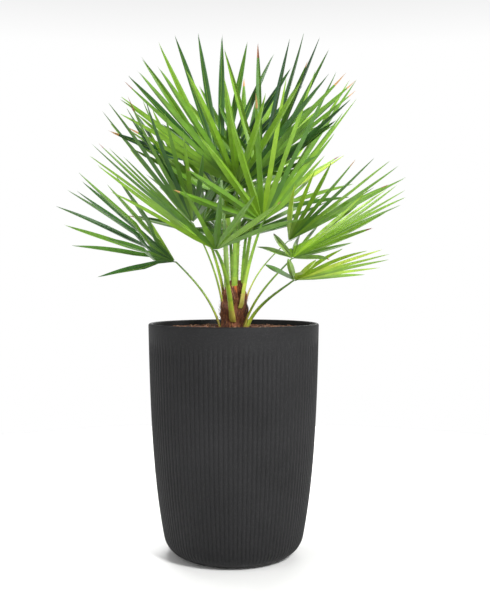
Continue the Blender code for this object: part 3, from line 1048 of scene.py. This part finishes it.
def free_section(frond, index, bend, share, habit, narrow):
    """Left edge, valley, right edge and face of the free leaflet at this share of its length."""
    curl, sway, twist = habit
    middle, way, face = leaflet_middle(frond, index, bend, share)
    across = face.cross(way)
    far = max(0.0, (share - FULL_WIDTH) / (1 - FULL_WIDTH))
    middle = middle + (face * curl + across * sway) * far**2 * bend.shorter
    angle = math.radians(twist) * far
    turned_across = across * math.cos(angle) + face * math.sin(angle)
    turned_face = face * math.cos(angle) - across * math.sin(angle)
    half = LEAFLET_WIDTH / 2 * narrow * max(0.0, 1 - far**TAPER_POWER)
    left = middle - turned_across * half
    right = middle + turned_across * half
    return left, middle - turned_face * FOLD_SHARE * half, right, turned_face


class Dress(NamedTuple):
    """A fine leaflet's colour numbers, where its dry tip starts, and its width over the solid's."""

    green: int
    rib: int
    tip: int
    dry_from: float
    narrow: float


def neck_sections(frond, index, notch, ahead):
    """A leaflet's sections between the web and its first free one, on straight lines."""
    left, valley, right, face = ahead
    way, start_face = leaflet_way(frond, leaflet_angle(frond, index))
    fold = FOLD_SHARE * (notch[1] - notch[0]).length / 2
    start = hub_of(frond) + way * frond.reach * WEB_SHARE - start_face * fold
    rings = []
    for step in range(1, NECK_STEPS):
        share = step / NECK_STEPS
        line = (notch[0].lerp(left, share), start.lerp(valley, share), notch[1].lerp(right, share))
        rings.append(section(*line, start_face.lerp(face, share).normalized(), LEAF_THICK))
    return rings


def add_split_tip(build, last, tips, tone):
    """Closes a leaflet whose last ring of points starts at last, with a point to each half."""
    for loop, tip in zip(TIP_LOOPS, tips):
        point = build.add_point(tip, (0.5, 1.0))
        for number, corner in enumerate(loop):
            beside = loop[(number + 1) % len(loop)]
            build.add_face((last + corner, last + beside, point), tone)


def add_leaflet(build, frond, index, bend, dress, draw):
    """One fine leaflet from the hub to its split tip, a closed thin body folded along its rib."""
    habit = (
        draw.gauss(HABIT_LEAN, HABIT_SPREAD) * CURL,
        draw.gauss(0, HABIT_SPREAD) * SWAY,
        draw.gauss(0, HABIT_SPREAD) * TWIST,
    )
    rings, notch = web_sections(frond, index)
    ahead = free_section(frond, index, bend, FULL_WIDTH, habit, dress.narrow)
    rings += neck_sections(frond, index, notch, ahead)
    free_first = len(rings)
    split = draw.uniform(*SPLIT_SHARE)
    stride = (split - FULL_WIDTH) / (FREE_STEPS - 1)
    for step in range(FREE_STEPS):
        share = FULL_WIDTH + stride * step
        left, valley, right, face = free_section(frond, index, bend, share, habit, dress.narrow)
        rings.append(section(left, valley, right, face, LEAF_THICK * (1 - THINNING * share)))

    def tone(ring, side):
        if ring >= free_first and FULL_WIDTH + stride * (ring - free_first + 1) > dress.dry_from:
            return dress.tip
        return dress.rib if side in RIB_SIDES else dress.green

    first = build.add_rings(rings, tone, topped=False)
    across_places = TOP_PLACES + UNDER_PLACES
    for number in range(len(rings)):
        for side, place in enumerate(across_places):
            flat_place = ((place + 1) / 2, number / len(rings))
            build.places[first + number * len(across_places) + side] = flat_place
    tip_left, _, tip_right, _ = free_section(frond, index, bend, 1.0, habit, dress.narrow)
    apart = (right - left).normalized() * draw.uniform(*TIP_GAP)
    back = (left - tip_left) * draw.uniform(*TIP_BACK)
    last_tone = dress.tip if dress.dry_from < 1.0 else dress.green
    last = first + (len(rings) - 1) * len(across_places)
    add_split_tip(build, last, (tip_left - apart, tip_right + apart + back), last_tone)


def blade_finishes():
    """The greens with their painted light and shade, the paler green of each along its rib, and the browns
    of dry tips.
    """
    ribs = []
    for paler in (LEAF_GREENS_AND_SHADE[0], *LEAF_GREENS_AND_SHADE[:-1]):
        ribs.append([(one + other) / 2 for one, other in zip(paler, RIB_COLOUR)])
    finishes = finishes_of(skin_material, "leaf", LEAF_GREENS_AND_SHADE, LEAF_SKIN)
    finishes += finishes_of(skin_material, "leaf_rib", ribs, LEAF_SKIN)
    return finishes + finishes_of(skin_material, "leaf_tip", TIP_COLOURS, TIP_SKIN)


def add_blade(name, finishes, draw):
    """The whole blade in fine leaflets. Each has its own plain green, set by the frond's painted light and
    shade and a random spread, and some have dry tips.
    """
    frond = FRONDS[name]
    build = Build()
    greens = len(LEAF_GREENS_AND_SHADE)
    for index, bend in enumerate(find_ways(name)):
        # The frond's tone paints its light and shade; the random spread round it is the leaflets' own
        # differences.
        green = min(greens - 1, max(0, round(frond.tone + draw.gauss(0, TONE_SPREAD))))
        dry_from = draw.uniform(*DRY_FROM) if draw.random() < DRY_SHARE else NEVER_DRY
        tip = 2 * greens + draw.randrange(len(TIP_COLOURS))
        dress = Dress(green, greens + green, tip, dry_from, NARROW.get(name, NARROWER))
        add_leaflet(build, frond, index, bend, dress, draw)
    make_piece("leaflets_" + name, build, finishes, ["blade_" + name], LEAF_SHARP)


def stalk_section(middle, flat, thick, width, height):
    """A ring round the stalk: a rounded keel below and a hollowed upper side between sharp edges."""
    ring = []
    for angle in turns(FINE_SIDES):
        across = math.cos(angle)
        deep = math.sin(angle)
        if deep < 0:
            deep = deep * (1 - CHANNEL) * (CHANNEL_FLOOR + (1 - CHANNEL_FLOOR) * across * across)
        ring.append(middle + flat * across * width / 2 + thick * deep * height / 2)
    return ring


def add_thorn(build, root, along, out, length, tone):
    """A small thorn that leans towards the blade."""
    flat = along.cross(out).normalized()
    first = []
    for angle in turns(THORN_SIDES):
        across = along * math.cos(angle) * THORN_OVAL + flat * math.sin(angle)
        first.append(build.add_point(root + across * THORN_WIDTH / 2))
    tip = build.add_point(root + out * length + along * length * THORN_LEAN)
    for corner, beside in zip(first, first[1:] + first[:1]):
        build.add_face((corner, beside, tip), tone)
    build.add_face(first, tone)


def add_thorns(build, frond, curve, tone, draw):
    """Thorns along both edges of the stalk, shorter towards the blade."""
    spots = [on_curve(curve, step / LENGTH_STEPS) for step in range(LENGTH_STEPS + 1)]
    length = sum((after - before).length for before, after in zip(spots, spots[1:]))
    count = int(length * THORN_STRETCH / THORN_SPACING)
    least, most = THORN_LIMITS
    for number in range(count):
        for edge in (-1, 1):
            shift = draw.uniform(-THORN_SHIFT, THORN_SHIFT)
            share = min(most, max(least, THORN_FROM + THORN_STRETCH * (number + shift) / count))
            along, flat, _ = stalk_axes(frond, curve, share)
            half = STALK_FULLER * stalk_width(frond, share) / 2
            root = on_curve(curve, share) + flat * edge * (half - THORN_SUNK)
            size = draw.uniform(*THORN_LENGTH) * (1 - THORN_SHRINK * share)
            add_thorn(build, root, along, flat * edge, size, tone)


def fine_stalk(frond, curve, foot):
    """Rings from inside the trunk's fibre to under the blade's hub, each with its share of the way."""
    along, flat, thick = stalk_axes(frond, curve, 0.0)
    inward = ((TRUNK_FOOT - foot) * Vector((1, 1, 0))).normalized()
    root = foot - along * ROOT_SINK + inward * ROOT_INWARD
    root.z = max(root.z, SOIL_TOP - ROOT_LOWEST)
    wide, high = ROOT_SIZE
    rings = [stalk_section(root, flat, thick, frond.width * wide, frond.width * high)]
    shares = [0.0]
    for ring in range(FINE_RINGS):
        share = ring / (FINE_RINGS - 1)
        _, flat, thick = stalk_axes(frond, curve, share)
        width = STALK_FULLER * stalk_width(frond, share)
        flare = 1 + FOOT_FLARE * (1 - smoothstep(0.0, FLARE_END, share))
        height = width * STALK_FLATNESS * STALK_HEIGHT
        rings.append(stalk_section(on_curve(curve, share), flat, thick, width * flare, height))
        shares.append(share)
    forward, _, face = axes_of(frond)
    drop, slope = UNDER_DROP
    for out, size in UNDER_HUB:
        middle = hub_of(frond) + forward * out - face * (drop + out * slope)
        width = stalk_width(frond, 1.0) * size
        rings.append(stalk_section(middle, flat, thick, width, width * UNDER_HEIGHT))
        shares.append(1.0)
    return rings, shares


def add_stalk(name, foot, finishes, draw):
    """The stalk in bands of colour, yellowish at its foot, with thorns on its edges."""
    frond = FRONDS[name]
    curve = stalk_middle(frond, foot)
    rings, shares = fine_stalk(frond, curve, foot)
    shift = draw.uniform(*STALK_SHIFT) + (GREENER if name in GREENER_STALKS else 0.0)
    build = Build()
    build.add_rings(rings, lambda ring, side: sum(shares[ring] + shift >= band for band in STALK_BANDS))
    add_thorns(build, frond, curve, len(STALK_COLOURS), draw)
    make_piece("stem_" + name, build, finishes, ["stalk_" + name], STALK_SHARP)


def add_fronds(draw):
    """Every stalk with its thorns, then every blade."""
    stalk_finishes = finishes_of(skin_material, "stalk_skin", STALK_COLOURS, STALK_SKIN)
    stalk_finishes.append(skin_material("thorn", THORN_COLOUR, THORN_SKIN))
    leaf_finishes = blade_finishes()
    trunk_tree = tree_of(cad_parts["trunk"])
    for name, frond in FRONDS.items():
        add_stalk(name, stalk_foot(frond, trunk_tree), stalk_finishes, draw)
    for name in FRONDS:
        add_blade(name, leaf_finishes, draw)


def add_floor():
    """A plain pale round floor. Beyond its edge the world is as white as the floor is lit."""
    mesh = bpy.data.meshes.new("floor")
    edge = []
    for angle in turns(FLOOR_SIDES):
        edge.append((FLOOR_RADIUS * math.cos(angle), FLOOR_RADIUS * math.sin(angle), 0))
    mesh.from_pydata(edge, [], [tuple(range(FLOOR_SIDES))])
    made, tree, shader, places = new_material("floor_pale", FLOOR_ROUGHNESS)
    tint = vary(tree, places["Object"], FLOOR_COLOUR, *FLOOR_CLOUDS)
    tree.links.new(tint, shader.inputs["Base Color"])
    mesh.materials.append(made)
    add_object("floor", mesh)


def add_lights():
    """Round lamps, and a world that is white round the horizon and greyer overhead."""
    for name, place, size, watts in LIGHTS:
        data = bpy.data.lights.new(name, "AREA")
        data.shape = "DISK"
        data.size = size
        data.energy = watts
        lamp = add_object(name, data)
        lamp.location = place
        lamp.rotation_euler = (LIGHT_AIM - Vector(place)).to_track_quat("-Z", "Y").to_euler()
    world = bpy.data.worlds.new("world")
    world.use_nodes = True
    tree = world.node_tree
    parts = add_node(tree, "SeparateXYZ", add_node(tree, "TexCoord").outputs["Generated"])
    height = add_node(tree, "MapRange", parts.outputs["Z"], From_Min=-1.0, From_Max=1.0)
    low, high = DOME_EDGE
    sky = add_ramp(tree, height.outputs["Result"], (low, (1.0, 1.0, 1.0)), (high, (DOME, DOME, DOME)))
    tree.links.new(sky, tree.nodes["Background"].inputs["Color"])
    bpy.context.scene.world = world


def add_camera():
    """The camera at the photograph's angle, and plain grading, so that white stays white."""
    bpy.context.scene.view_settings.view_transform = "Standard"
    data = bpy.data.cameras.new("camera")
    data.lens = CAMERA_LENS
    data.sensor_width = CAMERA_SENSOR
    camera = add_object("camera", data)
    camera.location = CAMERA_PLACE
    camera.rotation_euler = (math.radians(CAMERA_PITCH), 0, 0)
    bpy.context.scene.camera = camera


draw = random.Random(SEED)
add_camera()
add_pot()
add_chips(add_soil(), draw)
add_trunk()
add_sheaths(draw)
add_strands(draw)
add_fronds(draw)
add_floor()
add_lights()
